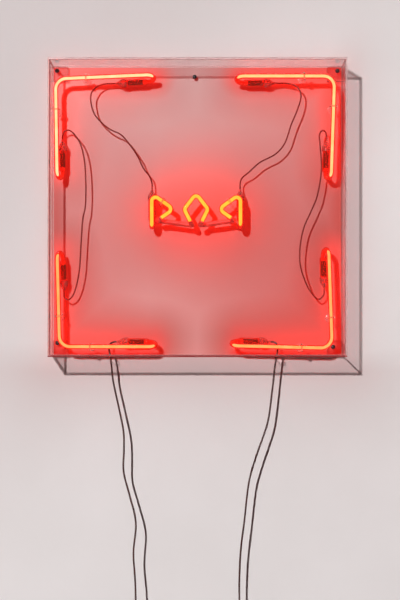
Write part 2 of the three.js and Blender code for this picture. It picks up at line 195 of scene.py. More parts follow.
# --- Materials ---
class Shader:
    """A material's node tree, with short ways to add nodes and join them."""

    def __init__(self, name):
        self.material = bpy.data.materials.new(name)
        self.material.use_nodes = True
        self.tree = self.material.node_tree
        self.tree.nodes.clear()
        self.output = self.add("ShaderNodeOutputMaterial")
        self.place = self.add("ShaderNodeTexCoord").outputs["Object"]

    def add(self, kind, inputs=None, **settings):
        node = self.tree.nodes.new(kind)
        for key, value in settings.items():
            setattr(node, key, value)
        for key, value in (inputs or {}).items():
            self.feed(node.inputs[key], value)
        return node

    def feed(self, socket, value):
        if isinstance(value, bpy.types.NodeSocket):
            self.tree.links.new(value, socket)
        elif isinstance(value, tuple) and len(value) == 3 and socket.type == "RGBA":
            socket.default_value = (*value, 1)
        else:
            socket.default_value = value

    def math(self, operation, first, second=0.0):
        node = self.add("ShaderNodeMath", {0: first, 1: second}, operation=operation)
        return node.outputs[0]

    def noise(self, scale, detail=3.0, stretch=(1, 1, 1)):
        mapping = self.add("ShaderNodeMapping", {"Vector": self.place, "Scale": stretch})
        inputs = {"Vector": mapping.outputs[0], "Scale": scale, "Detail": detail}
        return self.add("ShaderNodeTexNoise", inputs).outputs["Fac"]

    def span(self, value, low, high, source=(0.3, 0.7)):
        inputs = {"Value": value, 1: source[0], 2: source[1], 3: low, 4: high}
        return self.add("ShaderNodeMapRange", inputs).outputs[0]

    def blend(self, factor, first, second):
        node = self.add("ShaderNodeMix", data_type="RGBA")
        self.feed(node.inputs["Factor"], factor)
        self.feed(node.inputs[6], first)
        self.feed(node.inputs[7], second)
        return node.outputs[2]

    def bump(self, height, strength, distance):
        inputs = {"Height": height, "Strength": strength, "Distance": distance}
        return self.add("ShaderNodeBump", inputs).outputs[0]

    def principled(self, **inputs):
        named = {key.replace("_", " "): value for key, value in inputs.items()}
        return self.add("ShaderNodeBsdfPrincipled", named).outputs[0]

    def times(self, first, second):
        return self.math("MULTIPLY", first, second)

    def larger(self, first, second):
        return self.math("MAXIMUM", first, second)

    def beyond(self, value, limit):
        return self.larger(self.math("SUBTRACT", value, limit), 0.0)

    def distance(self, first, second):
        squares = self.times(first, first), self.times(second, second)
        return self.math("SQRT", self.math("ADD", *squares))

    def across_and_up(self):
        """Where a point is on the wall, then how far that is from the middle either way."""
        parts = self.add("ShaderNodeSeparateXYZ", {"Vector": self.place}).outputs
        places = parts["X"], parts["Z"]
        return *places, *(self.math("ABSOLUTE", place) for place in places)

    def clear(self, tint=(1, 1, 1)):
        return self.add("ShaderNodeBsdfTransparent", {"Color": tint}).outputs[0]

    def backfacing(self):
        return self.add("ShaderNodeNewGeometry").outputs["Backfacing"]

    def finish(self, surface):
        self.tree.links.new(surface, self.output.inputs["Surface"])
        return self.material

    def coat(self, **inputs):
        """A finish made of one principled surface."""
        return self.finish(self.principled(**inputs))

    def finish_mixed(self, share, first, second):
        inputs = {"Fac": share, 1: first, 2: second}
        return self.finish(self.add("ShaderNodeMixShader", inputs).outputs[0])


def clear_sheet(name, tint, roughness):
    """Polished clear acrylic: it lets light through, and reflects more at a glancing angle."""
    mat = Shader(name)
    smears = mat.noise(9, 4, (1, 1, 5))
    rough = mat.span(smears, roughness, roughness + 0.09)
    ripple = mat.bump(mat.noise(14, 2, (1, 1, 3)), 0.25, 0.0006)
    gloss = mat.add("ShaderNodeBsdfGlossy", {"Roughness": rough, "Normal": ripple}).outputs[0]
    edge_on = mat.add("ShaderNodeFresnel", {"IOR": 1.45}).outputs[0]
    share = mat.times(edge_on, mat.math("SUBTRACT", 1.0, mat.backfacing()))
    return mat.finish_mixed(share, mat.clear(tint), gloss)


def sheet_edge(name, dark, light, alpha):
    """The cut and flame-polished edge of a sheet."""
    mat = Shader(name)
    chatter = mat.noise(60, 3, (1, 1, 6))
    color = mat.blend(mat.span(chatter, 0, 1), dark, light)
    return mat.coat(Base_Color=color, Roughness=0.22, Alpha=alpha, Specular_IOR_Level=0.7,
                    Normal=mat.bump(chatter, 0.3, 0.0003))


def glow_field(mat):
    """Painted red light on the back panel, as glow and as red colour near the tubes."""
    _, height, across, up = mat.across_and_up()

    def short_of(value, limit):
        return mat.larger(mat.math("SUBTRACT", limit, value), 0.0)

    def fading(distance, reach):
        share = mat.times(distance, 1 / reach)
        return mat.math("EXPONENT", mat.times(mat.times(share, share), -1.0))

    upright = mat.distance(mat.math("SUBTRACT", across, 0.281), short_of(up, 0.08))
    level = mat.distance(mat.math("SUBTRACT", up, 0.272), short_of(across, 0.09))
    legs = mat.math("MINIMUM", upright, level)
    middle = mat.distance(across, up)
    wide_middle = mat.distance(mat.beyond(across, 0.04), up)
    # Painted red light and shade in strips along both sides.
    edge = mat.span(across, 0, 1, (0.25, 0.29))
    glow = mat.larger(fading(legs, 0.031), mat.times(fading(middle, 0.11), 1.3))
    glow = mat.math("MINIMUM", mat.larger(glow, mat.times(edge, 0.12)), 1.0)
    painted_red_light = mat.larger(fading(legs, 0.077), fading(wide_middle, 0.15))
    # The painted red is weaker towards the top.
    weaker_above = mat.span(height, 1, 0.45, (0, 0.27))
    painted_red_light = mat.larger(mat.times(painted_red_light, weaker_above), edge)
    return glow, mat.larger(painted_red_light, fading(legs, 0.045))


def lit_panel():
    """The back panel: frosted clear acrylic; the tubes' red light, shade and glow are painted in.
    """
    mat = Shader("back_panel_frosted")
    glow, painted_red_light = glow_field(mat)
    across, up, off_centre, _ = mat.across_and_up()
    cloud = mat.span(mat.noise(7, 5), 0, 1)
    # Painted light: redder low down and paler at the bottom middle.
    lower = mat.blend(cloud, (0.45, 0.405, 0.395), (0.5, 0.45, 0.44))
    upper = mat.blend(cloud, (0.43, 0.51, 0.505), (0.475, 0.575, 0.565))
    bottom = mat.times(mat.span(off_centre, 1, 0, (0.03, 0.26)),
                       mat.span(up, 1, 0, (-0.27, -0.1)))
    lower = mat.blend(bottom, lower, (0.66, 0.57, 0.55))
    plain = mat.blend(mat.span(up, 0, 1, (-0.05, 0.27)), lower, upper)
    # Painted shade: darker at the upper left.
    upper_left = mat.times(mat.span(across, 1, 0, (-0.18, 0)),
                           mat.span(up, 0, 1, (0, 0.12)))
    plain = mat.blend(upper_left, plain, (0.35, 0.41, 0.405))
    # Painted red light: redder towards the right and at the far left.
    right = mat.times(mat.span(across, 0, 1, (-0.15, 0.28)),
                      mat.span(up, 0.95, 0.55, (-0.2, 0.1)))
    left = mat.span(across, 0.55, 0, (-0.24, -0.06))
    plain = mat.blend(mat.larger(right, left), plain, (0.42, 0.12, 0.11))
    # Painted red light: red colour and a red glow near the tubes.
    color = mat.blend(painted_red_light, plain, (0.33, 0.1, 0.085))
    light = mat.blend(glow, (0.25, 0.006, 0.004), (0.64, 0.01, 0.006))
    # Painted shadow and red glow in a deep red band below the lower tubes.
    foot = mat.times(mat.span(up, 1, 0, (-0.289, -0.282)),
                     mat.span(off_centre, 0, 1, (0.06, 0.09)))
    color = mat.blend(foot, color, (0.26, 0.03, 0.022))
    light = mat.blend(foot, light, (0.6, 0.01, 0.006))
    grain = mat.bump(mat.noise(420, 2), 0.12, 0.0004)
    body = mat.principled(
        Base_Color=color, Roughness=0.34, Normal=grain, Specular_IOR_Level=0.4,
        Emission_Color=light, Emission_Strength=1.0)
    return mat.finish_mixed(0.9, mat.clear((0.9, 0.8, 0.8)), body)


def lit_gas(name, color, strength):
    """Gas that glows, a little unevenly along the tube."""
    mat = Shader(name)
    streak = mat.span(mat.noise(55, 2), 0, 1)
    tone = mat.blend(streak, (color[0], color[1] * 0.8, color[2] * 0.7), color)
    return mat.coat(
        Base_Color=(0.2, 0.02, 0.01), Roughness=0.6, Emission_Color=tone,
        Emission_Strength=strength)


def red_clear(name, tint, body_color, share, roughness, glow=0.0):
    """Clear glass or rubber with painted red light: a red tint, so shadows fall red, red colour and
    glow.
    """
    mat = Shader(name)
    wave = mat.noise(120, 2)
    tone = mat.blend(wave, (1, 0.05, 0.02), (1, 0.11, 0.05))
    normal = mat.bump(wave, 0.1, 0.0004)
    body = mat.principled(
        Base_Color=mat.blend(wave, body_color, tuple(0.8 * c for c in body_color)),
        Roughness=roughness, Normal=normal, Specular_IOR_Level=0.8,
        Emission_Color=tone, Emission_Strength=glow)
    facing = mat.add("ShaderNodeLayerWeight", {"Blend": 0.35}).outputs["Facing"]
    seen = mat.span(facing, share, share + 0.3, (0, 1))
    return mat.finish_mixed(seen, mat.clear(tint), body)


def block_out_paint():
    """Block-out paint over stretches of tube not meant to show; its deep red and glow are painted
    red light.
    """
    mat = Shader("block_out_red")
    brush = mat.noise(70, 4, (1, 3, 3))
    color = mat.blend(mat.span(brush, 0, 1), (0.3, 0.012, 0.01), (0.5, 0.03, 0.02))
    return mat.coat(
        Base_Color=color, Roughness=0.45, Normal=mat.bump(brush, 0.3, 0.0003),
        Emission_Color=color, Emission_Strength=0.75)


def jacket_glow():
    """Thin glow round an electrode's shell."""
    mat = Shader("electrode_glow")
    tone = mat.blend(mat.noise(90, 2), (1, 0.05, 0.03), (1, 0.14, 0.09))
    return mat.coat(
        Base_Color=(0.6, 0.1, 0.08), Roughness=0.5, Alpha=0.1, Emission_Color=tone,
        Emission_Strength=0.5)


def worn(name, dark, light, roughness, metallic=0.0, scale=40, bump=0.2, alpha=1.0, **more):
    """A finish whose colour and gloss vary a little over the surface."""
    mat = Shader(name)
    fleck = mat.noise(scale, 5)
    color = mat.blend(mat.span(fleck, 0, 1), dark, light)
    rough = mat.span(fleck, roughness - 0.08, roughness + 0.1)
    normal = mat.bump(mat.noise(scale * 6, 3), bump, 0.0002)
    return mat.coat(
        Base_Color=color, Roughness=rough, Metallic=metallic, Normal=normal, Alpha=alpha, **more)


def brushed_metal(name, dark, light, roughness):
    mat = Shader(name)
    brush = mat.noise(200, 4, (1, 1, 12))
    color = mat.blend(mat.span(brush, 0, 1), dark, light)
    return mat.coat(
        Base_Color=color, Roughness=mat.span(brush, roughness, roughness + 0.18),
        Metallic=1.0, Normal=mat.bump(brush, 0.15, 0.0002))


def wall_paint():
    """Pale plaster, seen from its front only; painted shade and red by the case, painted shade to
    the upper left.
    """
    mat = Shader("wall_paint")
    across, up, *off_centre = mat.across_and_up()
    away = mat.distance(*(mat.beyond(value, CASE_HALF * MM) for value in off_centre))

    def fading(reach):
        return mat.math("EXPONENT", mat.times(away, -1 / reach))

    # Painted shade and red light below and to the right of the case.
    below = mat.span(up, 1, 0, (-0.33, -0.27))
    right = mat.span(across, 0, 0.75, (0.27, 0.33))
    painted_shade_and_red = mat.larger(mat.times(fading(0.11), below), mat.times(fading(0.04), right))
    mottle = mat.span(mat.noise(3.5, 6), 0, 1)
    plain = mat.blend(mottle, (0.78, 0.77, 0.77), (0.83, 0.82, 0.825))
    # Painted shade: darker towards the upper left.
    painted_shade_tone = mat.blend(mottle, (0.64, 0.605, 0.605), (0.67, 0.635, 0.64))
    slant = mat.math("SUBTRACT", across, up)
    plain = mat.blend(mat.span(slant, 1, 0, (-0.6, 0.25)), plain, painted_shade_tone)
    color = mat.blend(mat.times(painted_shade_and_red, 0.95), plain, (0.6, 0.475, 0.47))
    # Painted red light: a pink rim close round the case.
    color = mat.blend(mat.times(fading(0.026), 0.9), color, (0.78, 0.585, 0.58))
    trowel = mat.bump(mat.noise(26, 7), 0.35, 0.002)
    paint = mat.principled(Base_Color=color, Roughness=0.85, Normal=trowel)
    return mat.finish_mixed(mat.backfacing(), paint, mat.clear())


# --- Mesh work ---
def new_mesh(name, vertices, faces, scale=1):
    mesh = bpy.data.meshes.new(name)
    mesh.from_pydata([tuple(Vector(v) * scale) for v in vertices], [], faces)
    return mesh


def taken_apart(mesh):
    """A mesh's points and faces. The mesh is thrown away."""
    vertices = [v.co.copy() for v in mesh.vertices]
    faces = [tuple(p.vertices) for p in mesh.polygons]
    bpy.data.meshes.remove(mesh)
    return vertices, faces


def add_piece(name, shape, looks, smooth=40):
    """A mesh object from points in millimetres, faces and, for a sheet, each face's look."""
    vertices, faces, *indices = shape
    mesh = new_mesh(name, vertices, faces, MM)
    for look in looks if isinstance(looks, list) else [looks]:
        mesh.materials.append(look)
    if indices:
        mesh.polygons.foreach_set("material_index", indices[0])
    mesh.update()
    if smooth:
        mesh.shade_smooth()
        mesh.set_sharp_from_angle(angle=math.radians(smooth))
    return put(name, mesh)


def attach(piece, body, slot, *nodes):
    """Ride a piece on its body and hide what it stands for. The slot is not used."""
    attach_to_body(piece, body)
    if nodes:
        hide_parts(*nodes)
    return piece


def dress(name, shape, looks, slot, *nodes, smooth=40, body=BACK):
    return attach(add_piece(name, shape, looks, smooth), body, slot, *nodes)


def joined(shapes):
    """Several closed shapes as one."""
    vertices = []
    faces = []
    for points, loops in shapes:
        start = len(vertices)
        vertices += points
        faces += [tuple(start + i for i in loop) for loop in loops]
    return vertices, faces


def spokes(side, other, count):
    angles = [2 * math.pi * k / count for k in range(count)]
    return [side * math.cos(angle) + other * math.sin(angle) for angle in angles]


def bands(rings, count):
    """Four-sided faces between each ring of points and the next."""
    return [(ring * count + k, ring * count + (k + 1) % count,
             (ring + 1) * count + (k + 1) % count, (ring + 1) * count + k)
            for ring in range(rings - 1) for k in range(count)]


def swept(points, radii, sides=20):
    """A closed tube along points, with one radius or one for each point."""
    radii = radii if isinstance(radii, list) else [radii] * len(points)
    last = len(points) - 1
    tangents = [(points[min(i + 1, last)] - points[max(i - 1, 0)]).normalized()
                for i in range(last + 1)]
    side = tangents[0].orthogonal().normalized()
    vertices = []
    for i, point in enumerate(points):
        if i:
            side = tangents[i - 1].rotation_difference(tangents[i]) @ side
            side = (side - tangents[i] * side.dot(tangents[i])).normalized()
        ring = spokes(side, tangents[i].cross(side), sides)
        vertices += [point + spoke * radii[i] for spoke in ring]
    faces = bands(len(points), sides)
    faces.append(tuple(reversed(range(sides))))
    faces.append(tuple(range(last * sides, len(vertices))))
    return vertices, faces


def turned(profile, start, direction, sides=32):
    """A turned solid: (radius, distance) pairs that start and end on the axis."""
    side = direction.orthogonal().normalized()
    ring = spokes(side, direction.cross(side), sides)
    vertices = []
    rings = []
    for radius, along in profile:
        centre = start + direction * along
        if radius < 1e-6:
            rings.append([len(vertices)])
            vertices.append(centre)
            continue
        rings.append(list(range(len(vertices), len(vertices) + sides)))
        vertices += [centre + spoke * radius for spoke in ring]
    faces = []
    for low, high in zip(rings, rings[1:]):
        for k in range(sides):
            places = (low, k), (low, k + 1), (high, k + 1), (high, k)
            loop = [ring[place % len(ring)] for ring, place in places]
            faces.append(tuple(dict.fromkeys(loop)))
    return vertices, faces


def ring_band(start, direction, radius, wire, sides=36, around=8):
    """A round wire bent into a closed ring about an axis."""
    side = direction.orthogonal().normalized()
    vertices = []
    for spoke in spokes(side, direction.cross(side), sides):
        for j in range(around):
            turn = 2 * math.pi * j / around
            offset = spoke * (radius + wire * math.cos(turn)) + direction * wire * math.sin(turn)
            vertices.append(start + offset)
    count = len(vertices)
    faces = [(a, d % count, c % count, b) for a, b, c, d in bands(sides + 1, around)]
    return vertices, faces


def plate(outline, low, high, axis, bevel, drills=()):
    """A sheet cut to an outline, with softened edges and drilled holes."""
    def lift(pair, level):
        values = list(pair)
        values.insert(axis, level)
        return Vector(values)

    shape = bmesh.new()
    face = shape.faces.new([shape.verts.new(lift(pair, low)) for pair in outline])
    extruded = bmesh.ops.extrude_face_region(shape, geom=[face])["geom"]
    moved = [item for item in extruded if isinstance(item, bmesh.types.BMVert)]
    step = lift((0, 0), high - low)
    bmesh.ops.translate(shape, vec=step, verts=moved)
    bmesh.ops.recalc_face_normals(shape, faces=shape.faces)
    bmesh.ops.bevel(shape, geom=list(shape.edges), offset=bevel, segments=2, affect="EDGES")
    mesh = bpy.data.meshes.new("plate")
    shape.to_mesh(mesh)
    shape.free()
    if drills:
        mesh = carved(mesh, drills)
    indices = [0 if abs(p.normal[axis]) > 0.99 else 1 for p in mesh.polygons]
    return *taken_apart(mesh), indices


def carved(mesh, tools):
    """The mesh with each closed tool shape cut out of it."""
    body = put("carving", mesh)
    helpers = []
    for vertices, faces in tools:
        tool = put("tool", new_mesh("tool", vertices, faces))
        cutter = body.modifiers.new("cut", "BOOLEAN")
        cutter.operation = "DIFFERENCE"
        cutter.solver = "EXACT"
        cutter.object = tool
        helpers.append(tool)
    graph = bpy.context.evaluated_depsgraph_get()
    result = bpy.data.meshes.new_from_object(body.evaluated_get(graph))
    for item in [body, *helpers]:
        data = item.data
        bpy.data.objects.remove(item)
        bpy.data.meshes.remove(data)
    return result


def bent_run(corners, fine=0.17):
    """Stations along straight runs whose corners are bent to circular arcs."""
    stations = [corners[0][0]]
    for i in range(1, len(corners) - 1):
        point, bend = corners[i]
        back = (corners[i - 1][0] - point).normalized()
        ahead = (corners[i + 1][0] - point).normalized()
        half = back.angle(ahead) / 2
        trim = bend / math.tan(half)
        centre = point + (back + ahead).normalized() * (bend / math.sin(half))
        first = point + back * trim - centre
        final = point + ahead * trim - centre
        sweep = first.angle(final)
        steps = max(3, round(sweep / fine))
        axis = first.cross(final).normalized()
        for s in range(steps + 1):
            station = centre + Matrix.Rotation(sweep * s / steps, 3, axis) @ first
            if (station - stations[-1]).length > 0.2:
                stations.append(station)
    if (corners[-1][0] - stations[-1]).length > 0.2:
        stations.append(corners[-1][0])
    return stations


def smooth_route(route, per_span=7):
    """Points along a centripetal Catmull-Rom curve through a route."""
    points = [2 * route[0] - route[1], *route, 2 * route[-1] - route[-2]]
    line = []
    for p0, p1, p2, p3 in zip(points, points[1:], points[2:], points[3:]):
        t1 = max((p1 - p0).length, 1e-6) ** 0.5
        t2 = t1 + max((p2 - p1).length, 1e-6) ** 0.5
        t3 = t2 + max((p3 - p2).length, 1e-6) ** 0.5
        for s in range(per_span):
            t = t1 + (t2 - t1) * s / per_span
            a1 = p0.lerp(p1, t / t1)
            a2 = p1.lerp(p2, (t - t1) / (t2 - t1))
            a3 = p2.lerp(p3, (t - t2) / (t3 - t2))
            early = a1.lerp(a2, t / t2)
            late = a2.lerp(a3, (t - t1) / (t3 - t1))
            line.append(early.lerp(late, (t - t1) / (t2 - t1)))
    line.append(route[-1])
    return line


def path_length(points):
    return sum((b - a).length for a, b in zip(points, points[1:]))


# --- Leads: their routes of (x, z, depth) points, coils, ties and connectors ---
JUMPER_ROUTES = {
    "jumper_lead_top_left": [
        (-167.9, 259.3, 28), (-176, 258.9, 28), (-192, 257.5, 31), (-206, 251, 36),
        (-216, 238, 40), (-217.5, 222, 42), (-210, 195, 42), (-196, 178, 42),
        (-178, 163.5, 42), (-157, 153.5, 42), (-143, 139, 42), (-121, 107, 41),
        (-110, 84, 38), (-97.5, 68, 32), (-93.1, 54, 28.2), (-93, 42.6, 28)],
    "jumper_lead_top_right": [
        (159, 260, 28), (168, 260, 28), (184, 259, 31), (199, 254, 35),
        (209.5, 242, 38), (210, 226, 40), (202, 200, 42), (191, 174, 42),
        (177, 134, 42), (159, 113.5, 42), (126, 95.5, 42), (104, 76, 40),
        (90.5, 65, 32), (87.1, 54, 28.2), (87, 42.6, 28)],
    "jumper_lead_left": [
        (-276.2, 144, 28), (-276.3, 151, 28), (-273, 160, 29), (-264.5, 163.5, 32),
        (-255, 158, 36), (-240, 137, 41), (-231, 105, 43), (-227.5, 60, 44),
        (-228.5, 5, 44), (-233, -16, 44), (-237, -69, 44), (-241, -126, 43),
        (-249, -162, 39), (-256, -177, 35), (-265, -183, 31), (-272.6, -177, 28.4),
        (-272.9, -167, 28)],
    "jumper_lead_right": [
        (263.8, 143, 28), (263.8, 151, 28), (261.5, 160, 30), (254, 162, 35),
        (248.5, 153, 40), (249.5, 132, 43), (252, 80, 44), (243, 26, 44),
        (233, 1, 44), (215, -41, 44), (208, -86, 44), (210, -117, 43),
        (224, -156, 40), (236, -174, 36), (248, -182, 31), (258, -173, 28.4),
        (258.8, -160, 28)],
}
SUPPLY_ROUTES = {
    "left": [
        (-165, -269, 28), (-171, -269.1, 28), (-178, -273, 30), (-180.5, -282, 34),
        (-178, -298, 39), (-175, -320, 41), (-172.5, -345, 42), (-161, -399, 44),
        (-150.5, -452, 47), (-149.5, -490, 50), (-150, -532, 53), (-138, -579, 57),
        (-125, -634, 61), (-129.5, -696, 66), (-126, -750, 70), (-124.5, -796, 72),
        (-124.5, -812, 72), (-124.5, -829.3, 72)],
    "right": [
        (149, -269, 28), (155, -269.1, 28), (161.5, -273, 30), (163.5, -282, 34),
        (161, -298, 39), (157.5, -320, 41), (153, -360, 42), (143.5, -430, 43),
        (132, -466, 44), (120, -500, 45), (106, -547, 46), (95, -634, 47),
        (87.5, -696, 48), (85, -750, 48), (85, -796, 48), (85, -812, 48),
        (85, -829.3, 48)],
}
COIL_TURNS = 3
COIL_STEP = 5
COIL_SHIFTS = ((285, 345), (555, 615), (825, 885))
TIE_ANGLES = (55, 300)
TIE_RADIUS = 5.3
TIE_WIRE = 0.55


def ease(angle, span):
    t = min(max((angle - span[0]) / (span[1] - span[0]), 0), 1)
    return t * t * (3 - 2 * t)


def coil_line(end):
    """Turns wound two wide and two deep, entered and left straight down on one side."""
    lane = COIL_RADIUS + LEAD_RADIUS
    outer = COIL_RADIUS + 2 * LEAD_RADIUS
    drop = math.sqrt(outer ** 2 - COIL_RADIUS ** 2) + 0.3
    centre = end + Vector((lane, 0, -drop))
    line = []
    for step in range(COIL_TURNS * 360 // COIL_STEP + 1):
        angle = step * COIL_STEP
        inward = ease(angle, COIL_SHIFTS[0]) - ease(angle, COIL_SHIFTS[2])
        radius = lane - 2 * LEAD_RADIUS * inward
        depth = LEAD_RADIUS * (1 - 2 * ease(angle, COIL_SHIFTS[1]))
        turn = math.radians(angle)
        offset = Vector((-radius * math.cos(turn), -depth, -radius * math.sin(turn)))
        line.append(centre + offset)
    return line, centre, drop


def lead_curve(name, line, material, radius):
    data = bpy.data.curves.new(name, "CURVE")
    data.dimensions = "3D"
    data.bevel_depth = radius * MM
    data.bevel_resolution = 4
    data.use_fill_caps = True
    spline = data.splines.new("POLY")
    spline.points.add(len(line) - 1)
    for knot, point in zip(spline.points, line):
        knot.co = (*(point * MM), 1)
    data.materials.append(material)
    return put(name, data)


def make_jumpers(sheath):
    for node, route in JUMPER_ROUTES.items():
        line = smooth_route([at(*place) for place in route])
        lead = lead_curve(f"{node}_sheath", line, sheath, JUMPER_RADIUS)
        attach(lead, BACK, "lead_sheath", node)
        round(path_length(line) * MM, 3)


CONNECTOR_PROFILE = [
    (0, 0), (2.1, 0), (2.6, 0.6), (2.6, 2.2), (2.2, 2.8), (2.8, 3.6), (2.8, 4.8), (2.4, 5.4),
    (3.2, 6.4), (3.2, 7.6), (2.8, 8.2), (4.6, 10.2), (5, 11.4), (5, 15), (4.6, 15.4),
    (4.6, 16.2), (5, 16.6), (5, 17.6), (4.6, 18), (4.6, 18.8), (5, 19.2), (5, 20.2),
    (4.6, 20.6), (4.6, 21.4), (5, 21.8), (5, 33.2), (4.5, 34), (3.4, 34), (3, 33.4),
    (3, 17), (0, 17)]
FERRULE_PROFILE = [
    (0, 17.4), (2.8, 17.4), (2.8, 32.2), (2.3, 32.8), (1.9, 32.2), (1.9, 19), (0, 19)]


def make_supply(side, sheath, plastic, metal, tie):
    route = [at(*place) for place in SUPPLY_ROUTES[side]]
    coil, centre, drop = coil_line(route[-1])
    mouth = route[-1] + Vector((0, 0, -2 * drop - 5))
    tail = smooth_route([coil[-1], coil[-1] + Vector((0, -0.6, -8)), mouth], 4)
    line = smooth_route(route) + coil[1:] + tail[1:]
    lead = lead_curve(f"supply_lead_{side}_sheath", line, sheath, LEAD_RADIUS)
    attach(lead, BACK, "lead_sheath", f"supply_lead_{side}", f"supply_coil_{side}")

    down = -UPWARD
    node = f"supply_connector_{side}"
    shell = dress(f"{node}_body", turned(CONNECTOR_PROFILE, mouth, down), plastic,
                  "connector_plastic", node, smooth=30)
    ferrule = dress(f"{node}_ferrule", turned(FERRULE_PROFILE, mouth, down), metal,
                    "electrode_metal", smooth=30)
    ties = []
    for angle in TIE_ANGLES:
        turn = math.radians(angle)
        spoke = Vector((-math.cos(turn), 0, -math.sin(turn)))
        along = spoke.cross(OUT).normalized()
        for offset in (-1.1, 0, 1.1):
            middle = centre + spoke * COIL_RADIUS + along * offset
            ties.append(ring_band(middle, along, TIE_RADIUS, TIE_WIRE, 24))
    band = dress(f"supply_coil_{side}_ties", joined(ties), tie, "connector_plastic")
    round(path_length(line) * MM, 3)


# --- Case ---
SCREWS = {
    "top_left": (-288, 287),
    "top_right": (287, 287),
    "bottom_left": (-287, -271),
    "bottom_right": (278, -279),
}
HANGING_SCREW = (-6, 275)
SLOT_CENTRES = (-178, 161)
SLOT_HALF = 6
SLOT_REACH = 47
BLOCK = 30
BLOCK_THICK = 12
PANEL_HALF = 296
HOLE_RADIUS = 2.6
HEAD_HEIGHT = 3
CORNER_HEAD_RADIUS = 4.5
HANGING_HEAD_RADIUS = 4.4
HANGING_HEAD_SEAT = 16
SCREW_SIDES = 28
SLOT_ARC_STEPS = 8
SHEET_BEVEL = 0.35
PANEL_BEVEL = 0.4
BLOCK_BEVEL = 0.5
WASHER_SHAPE = [(2.7, 0.02), (4.3, 0.02), (4.3, 0.22), (2.7, 0.22), (2.7, 0.02)]
BEAD_INSET = 0.9
BEAD_RADIUS = 1.0
BEAD_GAP = 1.2
BEAD_BACK = 1.2125
SIDE_BEAD_RADIUS = 0.8
CASE_SIDES = {"left": (-1, 0), "right": (1, 0), "top": (0, 1), "bottom": (0, -1)}
WALL_REACH = CASE_DEPTH - SHEET - 0.3


def rectangle(left, low, right, high):
    return [(left, low), (right, low), (right, high), (left, high)]


def slotted_outline():
    """The bottom wall from above: a rectangle whose back edge has two round-ended slots."""
    outline = [(-CASE_HALF, -WALL_REACH), (CASE_HALF, -WALL_REACH), (CASE_HALF, 0)]
    for middle in sorted(SLOT_CENTRES, reverse=True):
        outline.append((middle + SLOT_HALF, 0))
        for k in range(SLOT_ARC_STEPS + 1):
            angle = math.pi * k / SLOT_ARC_STEPS
            outline.append((middle + SLOT_HALF * math.cos(angle),
                            -(SLOT_REACH - SLOT_HALF) - SLOT_HALF * math.sin(angle)))
        outline.append((middle - SLOT_HALF, 0))
    outline.append((-CASE_HALF, 0))
    return outline


def make_cover(face, edges, cements):
    """The five glued sheets, and a bead of cement along each inner front edge."""
    inner = CASE_HALF - SHEET
    side = inner - 0.3
    sheets = {
        "front_pane": (rectangle(-CASE_HALF, -CASE_HALF, CASE_HALF, CASE_HALF),
                       -CASE_DEPTH, -CASE_DEPTH + SHEET, 1),
        "top_wall": (rectangle(-CASE_HALF, -WALL_REACH, CASE_HALF, 0), inner, CASE_HALF, 2),
        "bottom_wall": (slotted_outline(), -CASE_HALF, -inner, 2),
        "left_wall": (rectangle(-WALL_REACH, -side, 0, side), -CASE_HALF, -inner, 0),
        "right_wall": (rectangle(-WALL_REACH, -side, 0, side), inner, CASE_HALF, 0),
    }
    for name, (outline, low, high, axis) in sheets.items():
        sheet = plate(outline, low, high, axis, SHEET_BEVEL)
        dress(f"cover_{name}_sheet", sheet, [face, edges[name]], "clear_acrylic",
              f"cover_{name}", smooth=30, body=COVER)
    line = inner - BEAD_INSET
    front = -(CASE_DEPTH - SHEET) + BEAD_INSET
    for name, (x, z) in CASE_SIDES.items():
        across = Vector((abs(z), 0, abs(x))) * line
        centre = Vector((x * line, front, z * line))
        beads = [swept([centre - across, centre + across], BEAD_RADIUS, 8)]
        for end in (-1, 1) if x else ():
            corner = Vector((x * line, front + BEAD_GAP, end * line))
            rear = Vector((corner.x, -BEAD_BACK, corner.z))
            beads.append(swept([corner, rear], SIDE_BEAD_RADIUS, 8))
        dress(f"cover_cement_{name}", joined(beads), cements[name], "clear_acrylic", body=COVER)


def drill(x, z, depth=30):
    profile = [(0, -1), (HOLE_RADIUS, -1), (HOLE_RADIUS, depth), (0, depth)]
    return turned(profile, at(x, z, 0), OUT, SCREW_SIDES)


def make_panel(face, edge):
    """The back panel, drilled for the corner screws and the hanging screw."""
    holes = [drill(x, z, 9) for x, z in (*SCREWS.values(), HANGING_SCREW)]
    outline = rectangle(-PANEL_HALF, -PANEL_HALF, PANEL_HALF, PANEL_HALF)
    sheet = plate(outline, -PANEL_THICK, 0, 1, PANEL_BEVEL, holes)
    dress("back_panel_frosted", sheet, [face, edge], "clear_acrylic", "back_panel", smooth=30)


def cross_slots(middle, reach, width, depth):
    """Two crossed bars that cut a screw head's driver recess, set in from the head's top."""
    bars = []
    for across, up in ((reach, width), (width, reach)):
        low = middle - Vector((across, -1, up))
        high = middle + Vector((across, depth, up))
        xs, ys, zs = zip(low, high)
        corners = [Vector((x, y, z)) for x in xs for y in ys for z in zs]
        faces = [(0, 1, 3, 2), (4, 6, 7, 5), (0, 4, 5, 1), (2, 3, 7, 6), (0, 2, 6, 4), (1, 5, 7, 3)]
        bars.append((corners, faces))
    return bars


def make_screw(name, x, z, seat, head, material):
    """A round-headed cross-slotted screw whose threaded shank enters the wall."""
    height = HEAD_HEIGHT
    profile = [(0, 0.4)]
    thread = 0.5
    while thread < seat - 1:
        profile += [(1.55, thread), (2.0, thread + 0.45), (1.55, thread + 0.9)]
        thread += 1.0
    profile += [(2.0, seat - 0.2), (head - 0.25, seat), (head, seat + 0.35)]
    for k in range(1, 7):
        angle = math.pi / 2 * k / 6
        profile.append((head * math.cos(angle) if k < 6 else 0,
                        seat + 0.35 + (height - 0.35) * math.sin(angle)))
    blank = new_mesh("screw", *turned(profile, at(x, z, 0), OUT, SCREW_SIDES))
    top = at(x, z, seat + height)
    recess = cross_slots(top, head * 0.62, head * 0.13, height * 0.45)
    dress(f"{name}_turned", taken_apart(carved(blank, recess)), material, "black_screw", name,
          smooth=35)


